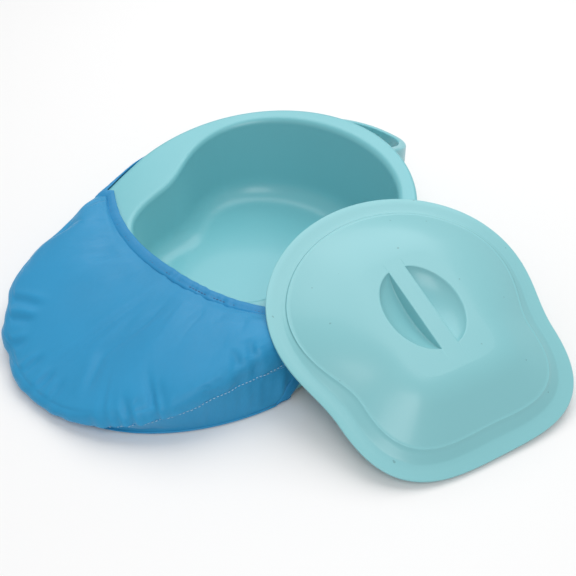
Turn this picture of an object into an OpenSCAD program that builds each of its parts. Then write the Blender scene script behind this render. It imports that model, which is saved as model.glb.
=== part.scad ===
// Bedpan with a lift-off lid and a padded slip-on cover, millimetres, Z up.
// The rear of the pan (its handle) points to +X, the seat tongue to -X. The origin is on the
// ground, straight below the centre of the bowl's round rear end.

/* [Pan] */
// Width over the rim at the bowl
pan_width = 303; // [290:1:315]
// Width of the seat tongue at the front
seat_width = 260; // [245:1:270]
// Distance from the bowl's centre to the centre of the tongue's round end
seat_length = 130; // [120:1:140]
// Height of the rim above the ground at the bowl's centre
bowl_height = 73; // [68:1:80]
// Slope of the rim and seat, falling to the front
seat_tilt = 9.9; // [8.5:0.1:10.5]
// How far the front tip bends down below the sloping seat
tip_drop = 17; // [13:1:18]

/* [Bowl] */
// Width of the opening at its widest
opening_width = 232; // [220:1:240]
// Width of the opening's squarer front part
throat_width = 188; // [176:1:196]
// Slope of the bowl's wall, per millimetre of height
wall_draft = 0.15; // [0.1:0.01:0.2]
// Radius between the bowl's wall and its floor
floor_radius = 24; // [18:1:26]

/* [Handle] */
// Width of the handle loop
handle_width = 96; // [84:1:106]
// How far the handle stands out past the rim
handle_reach = 48; // [40:1:54]

/* [Lid] */
// Width of the lid over its flange
lid_width = 248; // [244:1:252]
// Width of the flat flange round the lid
flange_width = 14; // [11:1:16]
// Height of the dome above the flange's underside
dome_height = 27; // [22:1:30]
// Length of the elliptical grip sunk into the dome
grip_length = 84; // [70:1:90]
// Width of the elliptical grip
grip_width = 69; // [60:1:76]

/* [Cover] */
// Thickness of the foam pad
pad_thickness = 4; // [3:0.5:5]
// Height of the seam between the top panel and the side band
seam_height = 34; // [26:1:38]

/* [Hidden] */
plastic = 2.5;
fabric = 1;
// Clearance between layers on the deck, and between the cover and the pan's side.
gap = 0.3;
side_gap = 1.7;

pan_r = pan_width/2;
seat_r = seat_width/2;
tip_x = seat_length + seat_r;
bend_start = 89;
rim_edge = 4;

// Opening: a wide ellipse behind, a squarer shape in front, and a fillet at the waist between.
wide_x = 45;
wide_a = 86;
wide_only = 60;
throat_a = 98;
throat_power = 4.5;
waist_fillet = 30;
lip_r = 6;
lip_bottom = 2;
floor_z = 3;
// The bowl's wall meets its floor fillet this many degrees up the fillet.
fillet_end = 82;

// Skirt: its foot line and where it rises from the ground to a short lip.
foot_gap = 5.8;
foot_x = -60;
foot_a = 191;
lip_height = 22;
skirt_rise = 110;

// Handle: a bow whose plan is a superellipse, its channel stopping short of the ends.
handle_root = 134;
handle_power = 2.4;
handle_drop = 3;
handle_slope = 22;
handle_strap = 8;
handle_depth = 19;
handle_end = 88;
channel_end = 72;

// Lid: a wide ellipse behind, a squarer shape in front, a fillet at the waist between.
lid_a = 105;
lid_wide_x = 42;
lid_front_r = 111;
lid_front_power = 3.3;
lid_waist_fillet = 20;
lid_t = 2.4;
lid_edge = 0.8;
lid_lean = 21.6;
lid_lean_heading = -108.7;
lid_heading = 74.3;
lid_place = [-8, -215.5, 42.6];
// Step inside the flange, which shrinks towards the wide end.
step_width = 11;
step_height = 6;
step_width_rear = 4;
step_height_rear = 1.5;
// Headings over which the step grows and over which the dome turns into facets.
step_from = 50;
step_to = 110;
facets_from = 80;
facets_to = 130;
// Squarish summit, nearer the narrow end, which falls gently towards the wide end.
summit_front = 38;
summit_side = 40;
summit_rear = 72;
summit_power = 5;
summit_slope = 0.05;
dome_power = 1.7;
facet_rise = 1.3;
facet_fillet = 0.3;
grip_x = 23;
rib_width = 17;
scoop_depth = 13;
scoop_cut = 0.5;
// Size of the scoops' floors beside their tops, along and across the rib, outside and inside.
scoop_taper_outside = [0.7, 0.6];
scoop_taper_inside = [0.6, 0.35];

// Cover: its mouth line, from the middle in front to the rim's edge at the sides.
mouth_front = 103;
mouth_corner = 147;
mouth_angle = 117;
mouth_power = 1.9;
hem_width = 9;
hem_height = 3.2;
elastic_width = 3;
elastic_height = 0.4;
side_rear_angle = 106;
foot_rear_angle = 126;
hem_turn = 4.6;
hem_turn_stations = 6;
hem_slope_share = 0.4;
// Share of the side's height at which the seam meets the hem.
seam_share = 0.4;
seam_drop = 2;
// How far in front of the bowl's centre the base panel starts.
base_line = 120;
base_lift = 0.2;
// Height of the hem's lowest station on the side above the pan's foot.
hem_above_foot = 1;
// How far the foam stops short of the hem.
foam_setback = 1.5;
band_foot = 1.5;
thread = 0.7;
stitch_length = 3.2;
stitch_pitch = 2.2;
stitch_lift = 3;
seam_stitches_from = 88;

around = 96;
turns = [for (i = [0 : around - 1]) i*360/around];

// ---- outlines, as the distance from the bowl's centre at a given heading ----

function mix(a, b, t) = a + (b - a)*t;
function smooth(t) = let (u = min(1, max(0, t))) u*u*(3 - 2*u);
function turn_from_rear(a) = let (b = abs(a) % 360) b > 180 ? 360 - b : b;

// Soft larger-of-two, which leaves a fillet k wide where the two cross.
function soft_max(a, b, k) = let (h = max(k - abs(a - b), 0)/k) max(a, b) + h*h*k/4;

function oval_r(a, cx, ra, rb) =
    let (c = cos(a)/ra, s = sin(a)/rb, q = c*c + s*s, m = cx*cos(a)/ra/ra, k = cx*cx/ra/ra - 1)
    (m + sqrt(max(0, m*m - q*k)))/q;

function squarish_r(a, ra, rb, n) = pow(pow(abs(cos(a))/ra, n) + pow(abs(sin(a))/rb, n), -1/n);

function rim_r(a) =
    let (
        t = turn_from_rear(a),
        tangent = acos(-(pan_r - seat_r)/seat_length),
        meet = atan2(seat_r*sin(tangent), -seat_length + seat_r*cos(tangent))
    )
    t <= tangent ? pan_r
    : t <= meet ? pan_r/cos(t - tangent)
    : -seat_length*cos(t) + sqrt(pow(seat_r, 2) - pow(seat_length*sin(t), 2));

function opening_r(a) =
    let (t = turn_from_rear(a), wide = oval_r(t, wide_x, wide_a, opening_width/2))
    t < wide_only ? wide
    : soft_max(wide, squarish_r(t, throat_a, throat_width/2, throat_power), waist_fillet);

function foot_r(a) =
    let (t = turn_from_rear(a), corner = atan2(pan_r, foot_x))
    t <= 90 ? pan_r : t <= corner ? pan_r/sin(t) : oval_r(t, foot_x, foot_a, pan_r);

function lid_r(a) =
    let (
        t = turn_from_rear(a),
        wide = oval_r(t, lid_wide_x, lid_a, lid_width/2),
        front = squarish_r(t, lid_front_r, lid_front_r, lid_front_power)
    )
    soft_max(wide, front, lid_waist_fillet);

function mouth_r(a) =
    let (share = (180 - turn_from_rear(a))/(180 - mouth_angle))
    mix(mouth_front, mouth_corner, pow(share, mouth_power));

// ---- heights ----

function seat_z(x) =
    bowl_height + x*tan(seat_tilt) - tip_drop*pow(max(0, -x - bend_start)/(tip_x - bend_start), 2);

function skirt_z(x) = mix(foot_gap, seat_z(x) - lip_height, smooth((x - foot_x)/skirt_rise));

// Distance of the pan's side wall from the bowl's centre at heading a and height z.
function wall_r(a, z) =
    let (r = rim_r(a), top = seat_z(r*cos(a)) - rim_edge)
    mix(r, foot_r(a), min(1, max(0, (top - z)/max(1, top - foot_gap))));

function polar(r, a, z) = [r*cos(a), r*sin(a), z];
function on_seat(r, a, dz) = polar(r, a, seat_z(r*cos(a)) + dz);

// ---- solids from rings and sheets of points ----

function centre(ring) = [for (p = ring) 1]*ring/len(ring);

// Closed skin through rings of equal length, closed flat at both ends round the middle of the
// end ring. Seen from above, the rings run anticlockwise and go from the underside out round
// the edge to the top.
module skin(rings) {
    n = len(rings[0]);
    m = len(rings);
    polyhedron(
        points = concat([for (ring = rings) each ring], [centre(rings[0]), centre(rings[m - 1])]),
        faces = concat(
            [for (i = [0 : n - 1]) [i, (i + 1) % n, m*n]],
            [for (j = [0 : m - 2], i = [0 : n - 1])
                [(j + 1)*n + (i + 1) % n, j*n + (i + 1) % n, j*n + i]],
            [for (j = [0 : m - 2], i = [0 : n - 1])
                [(j + 1)*n + i, (j + 1)*n + (i + 1) % n, j*n + i]],
            [for (i = [0 : n - 1]) [(m - 1)*n + (i + 1) % n, (m - 1)*n + i, m*n + 1]]
        ),
        convexity = 8
    );
}

// Closed sheet between an inner and an outer grid of points, both [row][column].
module sheet(inner, outer) {
    skin_loops([for (j = [0 : len(inner) - 1]) concat(inner[j], reversed(outer[j]))]);
}

function reversed(list) = [for (i = [len(list) - 1 : -1 : 0]) list[i]];

// Skin whose end caps are strips of quads, so that they may be curved.
module skin_loops(loops) {
    n = len(loops[0]);
    m = len(loops);
    h = n/2;
    polyhedron(
        points = [for (loop = loops) each loop],
        faces = concat(
            [for (j = [0 : m - 2], i = [0 : n - 1])
                [j*n + i, j*n + (i + 1) % n, (j + 1)*n + (i + 1) % n]],
            [for (j = [0 : m - 2], i = [0 : n - 1])
                [j*n + i, (j + 1)*n + (i + 1) % n, (j + 1)*n + i]],
            [for (e = [0, m - 1], i = [0 : h - 2])
                cap_side(e == 0, [e*n + i, e*n + n - 1 - i, e*n + n - 2 - i])],
            [for (e = [0, m - 1], i = [0 : h - 2])
                cap_side(e == 0, [e*n + i, e*n + n - 2 - i, e*n + i + 1])]
        ),
        convexity = 8
    );
}

function cap_side(first, f) = first ? f : reversed(f);

// Closed tube through loops of points that joins up with its own start.
module ring_tube(loops) {
    n = len(loops[0]);
    m = len(loops);
    polyhedron(
        points = [for (loop = loops) each loop],
        faces = concat(
            [for (j = [0 : m - 1], i = [0 : n - 1])
                [j*n + i, j*n + (i + 1) % n, ((j + 1) % m)*n + (i + 1) % n]],
            [for (j = [0 : m - 1], i = [0 : n - 1])
                [j*n + i, ((j + 1) % m)*n + (i + 1) % n, ((j + 1) % m)*n + i]]
        ),
        convexity = 8
    );
}

// ---- pan ----

function ring_on(offset, drop) = [for (a = turns) on_seat(opening_r(a) + offset, a, -drop)];

function deck_ring(share, drop) =
    [for (a = turns) on_seat(mix(opening_r(a) + lip_r, rim_r(a) - rim_edge, share), a, -drop)];

function rim_ring(offset, drop) = [for (a = turns) on_seat(rim_r(a) + offset, a, -drop)];

function skirt_ring(offset) = [for (a = turns)
    let (z = skirt_z(rim_r(a)*cos(a)))
    polar(wall_r(a, z) + offset, a, z)];

function floor_r(a) = opening_r(a) - wall_draft*(seat_z(0) - floor_radius) - floor_radius;

function floor_ring(angle, radius) = [for (a = turns)
    polar(floor_r(a) + radius*sin(angle), a, floor_z + floor_radius - radius*cos(angle))];

module pan_shell() {
    top = floor_radius;
    under = floor_radius + plastic;
    foot = floor_radius + floor_z;
    skin(concat(
        [floor_ring(0, foot)],
        [for (t = [30, 60, fillet_end]) floor_ring(t, under)],
        [ring_on(plastic, lip_r + lip_bottom)],
        [for (t = [30, 60]) ring_on(lip_r - (lip_r - plastic)*cos(t), lip_r - (lip_r - plastic)*sin(t))],
        [for (s = [0 : 0.25 : 1]) deck_ring(s, plastic)],
        [rim_ring(-plastic, rim_edge)],
        [skirt_ring(-plastic), skirt_ring(0)],
        [for (t = [0 : 30 : 60]) rim_ring(rim_edge*(cos(t) - 1), rim_edge*(1 - sin(t)))],
        [for (s = [1 : -0.25 : 0]) deck_ring(s, 0)],
        [for (t = [60, 30]) ring_on(lip_r*(1 - cos(t)), lip_r*(1 - sin(t)))],
        [ring_on(0, lip_r + lip_bottom)],
        [for (t = [fillet_end, 60, 30, 0]) floor_ring(t, top)]
    ));
}

// Plan of the handle's outer edge, and the height of its top.
function bow(t) =
    let (
        c = cos(t),
        s = sin(t),
        x = handle_root + (pan_r + handle_reach - handle_root)*sign(c)*pow(abs(c), 2/handle_power),
        y = handle_width/2*sign(s)*pow(abs(s), 2/handle_power)
    )
    [x, y];

function bow_z(x) = seat_z(pan_r) - handle_drop - (x - handle_root)*tan(handle_slope);

// Section of the handle at bow position t, from w0 to w1 inwards and h0 to h1 downwards.
function strap_loop(t, w0, w1, h0, h1) =
    let (
        p = bow(t),
        d = bow(t + 1) - bow(t - 1),
        n = [d[1], -d[0]]/norm(d)
    )
    [for (q = [[w0, h0], [w0, h1], [w1, h1], [w1, h0]])
        [p[0] - n[0]*q[0], p[1] - n[1]*q[0], bow_z(p[0] - n[0]*q[0]) - q[1]]];

// An upside-down channel swept along a bow behind the rim.
module handle() {
    difference() {
        skin([for (t = [-handle_end : 8 : handle_end])
            strap_loop(t, 0, handle_strap, 0, handle_depth)]);
        skin([for (t = [-channel_end : 8 : channel_end])
            strap_loop(t, plastic, handle_strap - plastic, plastic, 2*handle_depth)]);
    }
}

module pan() {
    color([0.58, 0.81, 0.83]) {
        pan_shell();
        handle();
    }
}

// ---- lid ----

function lid_ring(inset, z) = [for (a = turns) polar(lid_r(a) - inset, a, z)];

// Width and height of the step at heading a, and how far the dome's side is a flat facet there.
function stepped(a) = smooth((turn_from_rear(a) - step_from)/(step_to - step_from));
function fold_inset(a) = flange_width + mix(step_width_rear, step_width, stepped(a));
function fold_height(a) = mix(step_height_rear, step_height, stepped(a));
function faceted(a) = smooth((turn_from_rear(a) - facets_from)/(facets_to - facets_from));

function fold_ring(inset, z) = [for (a = turns)
    polar(lid_r(a) - fold_inset(a) - inset, a, fold_height(a) + z)];

function lid_top(x) = dome_height - summit_slope*(x + summit_front);

function summit_r(a) =
    squarish_r(a, cos(a) > 0 ? summit_rear : summit_front, summit_side, summit_power);

function dome_rise(a, share) = mix(
    1 - pow(1 - share, dome_power),
    1 - soft_max(1 - facet_rise*share, 0, facet_fillet),
    faceted(a)
);

function dome_ring(share, sink) = [for (a = turns)
    let (
        r = mix(lid_r(a) - fold_inset(a), summit_r(a), share),
        top = lid_top(summit_r(a)*cos(a))
    )
    polar(r, a, mix(lid_t + fold_height(a), top, dome_rise(a, share)) - sink)];

module lid_shell() {
    t = lid_t;
    shares = [0.15, 0.3, 0.45, 0.6, 0.75, 0.9, 1];
    skin(concat(
        [for (i = [len(shares) - 1 : -1 : 0]) dome_ring(shares[i], t)],
        [fold_ring(lid_edge, 0), lid_ring(flange_width + t/2, t/2)],
        [lid_ring(flange_width, 0), lid_ring(lid_edge, 0), lid_ring(0, lid_edge)],
        [lid_ring(0, t - lid_edge), lid_ring(lid_edge, t), lid_ring(flange_width, t)],
        [fold_ring(0, t)],
        [for (share = shares) dome_ring(share, 0)]
    ));
}

// The two D-shaped scoops beside the grip's rib, their flat sides to the rib.
module scoops(grow, depth, taper) {
    for (side = [0, 180])
        rotate([0, 0, side])
            translate([0, rib_width/2 - grow, 0])
                mirror([0, 0, 1])
                    linear_extrude(height = depth, scale = taper)
                        intersection() {
                            translate([0, grow - rib_width/2])
                                scale([1, grip_width/grip_length])
                                    circle(r = grip_length/2 + grow, $fn = 48);
                            translate([-grip_length, 0])
                                square([2*grip_length, grip_length]);
                        }
}

module at_grip(dz) {
    translate([grip_x, 0, lid_top(grip_x) + dz])
        rotate([0, atan(summit_slope), 0])
            children();
}

module lid_at_seat() {
    difference() {
        union() {
            lid_shell();
            at_grip(-lid_t/2)
                scoops(lid_t, scoop_depth, scoop_taper_outside);
        }
        at_grip(scoop_cut)
            scoops(0, scoop_depth, scoop_taper_inside);
    }
}

module lid() {
    color([0.6, 0.83, 0.85])
        translate(lid_place)
            rotate([0, 0, lid_lean_heading])
                rotate([0, lid_lean, 0])
                    rotate([0, 0, lid_heading - lid_lean_heading])
                        lid_at_seat();
}

// ---- cover ----

cover_columns = 36;

// Heading of the cover's rear edge: over the rim's edge (t in degrees), then down the side
// (s from 0 at the rim to 1 at the foot).
function edge_rear(t) = mix(mouth_angle, side_rear_angle, t/90);
function side_rear(s) = mix(side_rear_angle, foot_rear_angle, s);

// Headings of the columns of a row of fabric that starts in front of the hem.
function spread(rear) =
    let (half = 180 - rear - hem_turn)
    [for (i = [0 : cover_columns]) 180 + half - 2*half*i/cover_columns];

// Deck rows of the cover, from the hem's front edge to the rim's edge.
function deck_row(share, lift, from) = [for (a = spread(mouth_angle))
    on_seat(mix(mouth_r(a) + from, rim_r(a) - rim_edge, share), a, lift)];

module foam_pad() {
    low = gap;
    high = gap + pad_thickness;
    from = hem_width + foam_setback;
    color([0.93, 0.93, 0.88])
        sheet(
            [for (s = [0 : 0.2 : 1]) deck_row(s, low, from)],
            [for (s = [0 : 0.2 : 1]) deck_row(s, high, from)]
        );
}

// Top panel: across the pad, round the rim's edge and down to the seam.
function panel_edge_row(t, thick) = [for (a = spread(edge_rear(t)))
    on_seat(rim_r(a) - rim_edge + (rim_edge + side_gap + thick)*sin(t), a,
        -rim_edge + (rim_edge + pad_thickness + 2*gap + thick)*cos(t))];

function seam_level(a) =
    let (x = rim_r(a)*cos(a))
    min(seam_height, seat_z(x) - rim_edge - seam_drop);

function wall_point(a, z, out) = polar(wall_r(a, z) + out, a, z);

function panel_side_row(thick) = [for (a = spread(side_rear(seam_share)))
    wall_point(a, seam_level(a) + gap, side_gap + thick)];

function panel_rows(thick) = concat(
    [for (s = [0 : 0.2 : 0.8]) deck_row(s, pad_thickness + 2*gap + thick, hem_width + 3*gap)],
    [for (t = [0 : 30 : 90]) panel_edge_row(t, thick)],
    [panel_side_row(thick)]
);

module top_panel() {
    color([0.27, 0.6, 0.8])
        sheet(panel_rows(0), panel_rows(fabric));
}

// Side band: from the seam (share 0) down to the ground (share 1).
function band_row(share, thick) = [for (a = spread(side_rear(mix(seam_share, 1, share))))
    wall_point(a, mix(seam_level(a), band_foot, share), side_gap + thick)];

module side_band() {
    color([0.2, 0.5, 0.72])
        sheet(
            [for (s = [0 : 0.25 : 1]) band_row(s, 0)],
            [for (s = [0 : 0.25 : 1]) band_row(s, fabric)]
        );
}

module base_panel() {
    color([0.2, 0.5, 0.72])
        translate([0, 0, base_lift])
            linear_extrude(fabric)
                intersection() {
                    polygon([for (a = turns) (foot_r(a) + side_gap + fabric)*[cos(a), sin(a)]]);
                    translate([-2*tip_x - base_line, -tip_x])
                        square(2*tip_x);
                }
}

// The hem is a folded strip round the cover's whole opening. Each station of its path is
// [point, direction into the cover, outward direction]; these are the stations of the far side.
function unit(v) = v/norm(v);
function mirrored(s) = [for (v = s) [v[0], -v[1], v[2]]];

function forward(a, z) = unit(wall_point(a + 1, z, 0) - wall_point(a, z, 0));

function hem_deck(count) = [for (i = [0 : count])
    let (
        a = mouth_angle + (180 - mouth_angle)*i/count,
        at_edge = smooth(1 - i/hem_turn_stations),
        w = mix([cos(a), sin(a), 0], forward(a, bowl_height), at_edge)
    )
    [on_seat(mouth_r(a), a, gap), unit([w[0], w[1], tan(seat_tilt)*w[0]]), [0, 0, 1]]];

function hem_side_station(a, z, roll, out) =
    let (w = forward(a, z), n = [w[1], -w[0], 0])
    [wall_point(a, z, 0) + n*out, w, n*cos(roll) + [0, 0, sin(roll)]];

function hem_edge(count) = [for (i = [1 : count])
    let (
        t = 90*i/count,
        a = edge_rear(t),
        r = rim_r(a) - rim_edge + (rim_edge + side_gap)*sin(t),
        z = seat_z(r*cos(a)) - rim_edge + (rim_edge + 2*gap)*cos(t),
        w = forward(a, z),
        slope = hem_slope_share*tan(seat_tilt)*cos(t),
        n = [w[1], -w[0], 0]
    )
    [polar(r, a, z), unit([w[0], w[1], slope*w[0]]), n*sin(t) + [0, 0, cos(t)]]];

function hem_side(count) = [for (i = [1 : count])
    let (
        s = i/count,
        a = side_rear(s),
        top = seat_z(rim_r(a)*cos(a)) - rim_edge
    )
    hem_side_station(a, mix(top, foot_gap + hem_above_foot, s), 0, side_gap)];

function hem_corner() = [for (t = [30 : 30 : 90])
    let (s = hem_side_station(foot_rear_angle, foot_gap, -t, 0))
    [s[0] + side_gap*s[2], s[1], s[2]]];

function hem_base(count) =
    let (corner = wall_point(foot_rear_angle, foot_gap, 0))
    [for (i = [1 : count])
        [[corner[0], mix(corner[1], 0, i/count), foot_gap - side_gap], [-1, 0, 0], [0, 0, -1]]];

hem_far = concat(reversed(hem_deck(16)), hem_edge(6), hem_side(8), hem_corner(), hem_base(4));
hem_path = concat(hem_far, [for (i = [len(hem_far) - 2 : -1 : 1]) mirrored(hem_far[i])]);

// Sweeps a flat outline of [width, height] points along the hem's path.
module hem_sweep(outline) {
    ring_tube([for (s = hem_path) [for (q = outline) s[0] + s[1]*q[0] + s[2]*q[1]]]);
}

module mouth_hem() {
    w = hem_width;
    h = hem_height;
    f = fabric;
    color([0.24, 0.55, 0.78])
        hem_sweep([[w, 0], [0, 0], [0, h], [w, h], [w, h - f], [f, h - f], [f, f], [w, f]]);
}

module hem_elastic() {
    inset = (hem_width - elastic_width)/2;
    rise = (hem_height - elastic_height)/2;
    w = inset + elastic_width;
    h = rise + elastic_height;
    color([0.9, 0.9, 0.9])
        hem_sweep([[w, rise], [inset, rise], [inset, h], [w, h]]);
}

module stitch(p, q) {
    d = q - p;
    translate(p)
        rotate([0, -asin(d[2]/norm(d)), atan2(d[1], d[0])])
            cube([stitch_length, thread, thread], center = true);
}

// A point above the seam, t degrees round the middle of the tongue's end.
function seam_point(t) =
    let (
        across = [-seat_length + seat_r*cos(t), seat_r*sin(t)],
        a = atan2(across[1], across[0])
    )
    wall_point(a, seam_level(a) + stitch_lift, side_gap + fabric + thread);

module seam_thread() {
    color([0.62, 0.8, 0.92])
        for (t = [seam_stitches_from : stitch_pitch : 360 - seam_stitches_from])
            stitch(seam_point(t), seam_point(t + 1));
}

function hem_stitch_point(a) =
    on_seat(mouth_r(a) + hem_width - 2*thread, a, gap + hem_height + thread);

module hem_thread() {
    color([0.1, 0.3, 0.5])
        for (a = [mouth_angle + hem_turn : stitch_pitch : 360 - mouth_angle - hem_turn])
            stitch(hem_stitch_point(a), hem_stitch_point(a + 1));
}

pan();
lid();
foam_pad();
top_panel();
side_band();
base_panel();
mouth_hem();
hem_elastic();
seam_thread();
hem_thread();
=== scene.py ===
"""Bedpan with its lid leaning on the near side and a padded fabric cover over the seat.

Lengths are in metres in the frame's axes: +X to the rear where the handle is, +Z up, and the
origin on the ground below the middle of the bowl's round end. Headings are in radians,
anticlockwise from +X seen from above.
"""

import math

import bmesh
import bpy
import numpy as np
from mathutils import Matrix, Vector, noise
from mathutils.bvhtree import BVHTree


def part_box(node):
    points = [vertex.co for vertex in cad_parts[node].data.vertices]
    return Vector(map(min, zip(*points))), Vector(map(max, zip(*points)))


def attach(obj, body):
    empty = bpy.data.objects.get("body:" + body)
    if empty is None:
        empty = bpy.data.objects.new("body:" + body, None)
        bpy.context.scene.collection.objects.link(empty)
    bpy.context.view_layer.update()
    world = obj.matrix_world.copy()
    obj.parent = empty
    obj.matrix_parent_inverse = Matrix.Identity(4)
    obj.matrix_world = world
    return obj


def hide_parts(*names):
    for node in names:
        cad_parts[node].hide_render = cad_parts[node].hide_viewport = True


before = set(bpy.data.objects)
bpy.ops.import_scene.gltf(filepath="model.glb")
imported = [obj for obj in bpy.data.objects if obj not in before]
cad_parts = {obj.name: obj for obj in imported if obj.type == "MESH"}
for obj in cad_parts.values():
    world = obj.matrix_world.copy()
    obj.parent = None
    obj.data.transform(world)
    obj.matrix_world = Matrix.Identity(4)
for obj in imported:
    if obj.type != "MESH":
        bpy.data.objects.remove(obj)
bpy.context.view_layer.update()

MM = 0.001
PI = math.pi


# ---- sizes, from the frame ----

def top_of(node, x, y):
    """Height of a CAD node's highest surface above the point (x, y)."""
    tree = BVHTree.FromObject(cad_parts[node], bpy.context.evaluated_depsgraph_get())
    hit = tree.ray_cast(Vector((x, y, 1.0)), Vector((0, 0, -1)))
    return hit[0].z


pan_low, pan_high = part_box("pan")
PAN_R = pan_high.y
TIP = -pan_low.x
SEAT_R = 0.858*PAN_R
SEAT_LENGTH = TIP - SEAT_R
# Radius of the rim's outer edge and the length of surface round it.
RIM_ROUND = 4*MM
EDGE_LENGTH = RIM_ROUND*PI/2
PLASTIC = 2.5*MM

# The rim's height is measured on the CAD pan at two places on its flat deck.
side_of_rim = PAN_R - 9*MM
slope_run = 60*MM
BOWL_HEIGHT = top_of("pan", 0, side_of_rim)
SEAT_SLOPE = (BOWL_HEIGHT - top_of("pan", -slope_run, side_of_rim - 6*MM))/slope_run
BEND_START = 89*MM
TIP_DROP = 17*MM

# Opening: a wide ellipse (centre, half length, half width) behind and a squarer shape (half
# length, half width, power) in front, with a fillet at the waist between.
OPENING_WIDE = (45*MM, 86*MM, 116*MM)
OPENING_THROAT = (98*MM, 94*MM, 4.5)
OPENING_FILLET = 30*MM
LIP_ROUND = 6*MM
FLOOR_Z = 3*MM
FLOOR_ROUND = 24*MM
# The bowl's wall meets its floor fillet this many degrees up the fillet.
FLOOR_ROUND_END = 82
WALL_DRAFT = 0.15
FOOT_GAP = 5.8*MM
FOOT_X = -60*MM
FOOT_SETBACK = 9*MM
SKIRT_RISE = 110*MM
LIP_HEIGHT = 22*MM

HANDLE_ROOT = 134*MM
HANDLE_HALF = 48*MM
HANDLE_STRAP = 8*MM
HANDLE_DEPTH = 19*MM
HANDLE_DROP = 3*MM
HANDLE_ROUND = 2*MM
HANDLE_POWER = 2.4
HANDLE_END = 88
HANDLE_SLOPE = math.tan(math.radians(22))

# The lid's outline is made like the opening's. It lies with its flange leaning on pan and cover.
LID_WIDE = (42*MM, 105*MM, 124*MM)
LID_FRONT = (111*MM, 111*MM, 3.3)
LID_FILLET = 20*MM
LID_LEAN = math.radians(21.6)
LID_LEAN_HEADING = math.radians(-108.7)
LID_HEADING = math.radians(74.3)
LID_PLACE = Vector((-8, -215.5, 42.6))*MM
FLANGE = 14*MM
# Step inside the flange, which shrinks towards the wide end, and the headings in degrees over
# which it grows and over which the dome turns into facets.
STEP_WIDTH = 11*MM
STEP_HEIGHT = 6*MM
STEP_WIDTH_REAR = 4*MM
STEP_HEIGHT_REAR = 1.5*MM
STEP_FROM, STEP_TO = 50, 110
FACETS_FROM, FACETS_TO = 80, 130
FACET_RISE = 1.3
FACET_FILLET = 0.3
DOME_POWER = 1.7
DOME_HEIGHT = 27*MM
SUMMIT_FRONT = 38*MM
SUMMIT_SIDE = 40*MM
SUMMIT_REAR = 72*MM
SUMMIT_TILT = 0.05
SUMMIT_POWER = 5
LID_T = 2.4*MM
LID_EDGE = 0.8*MM
BEAD = 1.0*MM
GRIP_X, GRIP_A, GRIP_B = 23*MM, 42*MM, 34.5*MM
RIB_HALF = 8.5*MM
SCOOP_DEPTH = 13.5*MM
SCOOP_POWER = 0.7
BEVEL = 0.8*MM

MOUTH_FRONT = 103*MM
MOUTH_CORNER = 147*MM
MOUTH_ANGLE = math.radians(117)
MOUTH_POWER = 1.9
HEM_WIDTH = 9*MM
SEAM_HEIGHT = 34*MM
SEAM_DROP = 2*MM
SEAM_SHARE = 0.4
# How far the cover's outside stands off the deck and off the pan's side.
PAD_TOP = 5.6*MM
SIDE_OUT = 2.7*MM
HEM_TOP = 3.2*MM
HEM_LIFT = 0.2*MM
HEM_TURN = math.radians(3.8)
# Height of the fabric where it runs under the hem, how far the panel's first row reaches under
# the hem, and how far it lies below the hem's top there.
UNDER_HEM = 1.6*MM
PANEL_TUCK = 0.6*MM
PANEL_SINK = 0.9*MM
DECK_ROWS = 36
# Headings of the cover's rear edge at the rim's edge, on the far and the near side, and at the foot.
EAR_FAR = math.radians(91)
EAR_NEAR = math.radians(106)
FOOT_REAR = math.radians(126)
# The hem narrows to this share of its width at an ear's tip, and widens again this fast.
EAR_SHARE = 0.06
EAR_TAPER = 0.55
BAND_FOOT = 1.2*MM
HEM_FOOT = 2.4*MM
HEM_SAG = 1.2*MM
BASE_LIFT = 1.1*MM
BASE_LINE = 108*MM
FABRIC = 0.8*MM
THREAD = 0.4*MM


# ---- outlines, as the distance from the bowl's middle at a heading ----

def mix(a, b, t):
    return a + (b - a)*t


def smooth(t):
    u = np.clip(t, 0, 1)
    return u*u*(3 - 2*u)


def from_rear(a):
    """Heading folded onto 0 (rear) to pi (front)."""
    return np.abs((np.asarray(a, float) + PI) % (2*PI) - PI)


def soft_max(a, b, k):
    """Larger of two, with a fillet k wide where they cross."""
    h = np.maximum(k - np.abs(a - b), 0)/k
    return np.maximum(a, b) + h*h*k/4


def oval_r(a, cx, ra, rb):
    """Ellipse whose centre lies at cx on the X axis."""
    c, s = np.cos(a)/ra, np.sin(a)/rb
    q = c*c + s*s
    m = cx*np.cos(a)/ra**2
    return (m + np.sqrt(np.maximum(0, m*m - q*(cx*cx/ra**2 - 1))))/q


def squarish_r(a, ra, rb, n):
    """Superellipse of power n round the bowl's middle."""
    return (np.abs(np.cos(a)/ra)**n + np.abs(np.sin(a)/rb)**n)**(-1/n)


def rim_r(a):
    t = from_rear(a)
    tangent = math.acos(-(PAN_R - SEAT_R)/SEAT_LENGTH)
    meet = math.atan2(SEAT_R*math.sin(tangent), -SEAT_LENGTH + SEAT_R*math.cos(tangent))
    line = PAN_R/np.cos(np.clip(t - tangent, 0, 1))
    tongue = -SEAT_LENGTH*np.cos(t) + np.sqrt(np.maximum(0, SEAT_R**2 - (SEAT_LENGTH*np.sin(t))**2))
    return np.where(t <= tangent, PAN_R, np.where(t <= meet, line, tongue))


def opening_r(a):
    t = from_rear(a)
    wide = oval_r(t, *OPENING_WIDE)
    throat = squarish_r(t, *OPENING_THROAT)
    return np.where(t < PI/3, wide, soft_max(wide, throat, OPENING_FILLET))


def foot_r(a):
    t = from_rear(a)
    corner = math.atan2(PAN_R, FOOT_X)
    side = PAN_R/np.maximum(np.sin(t), 0.1)
    front = oval_r(t, FOOT_X, TIP + FOOT_X - FOOT_SETBACK, PAN_R)
    return np.where(t <= PI/2, PAN_R, np.where(t <= corner, side, front))


def lid_r(a):
    t = from_rear(a)
    return soft_max(oval_r(t, *LID_WIDE), squarish_r(t, *LID_FRONT), LID_FILLET)


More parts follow.
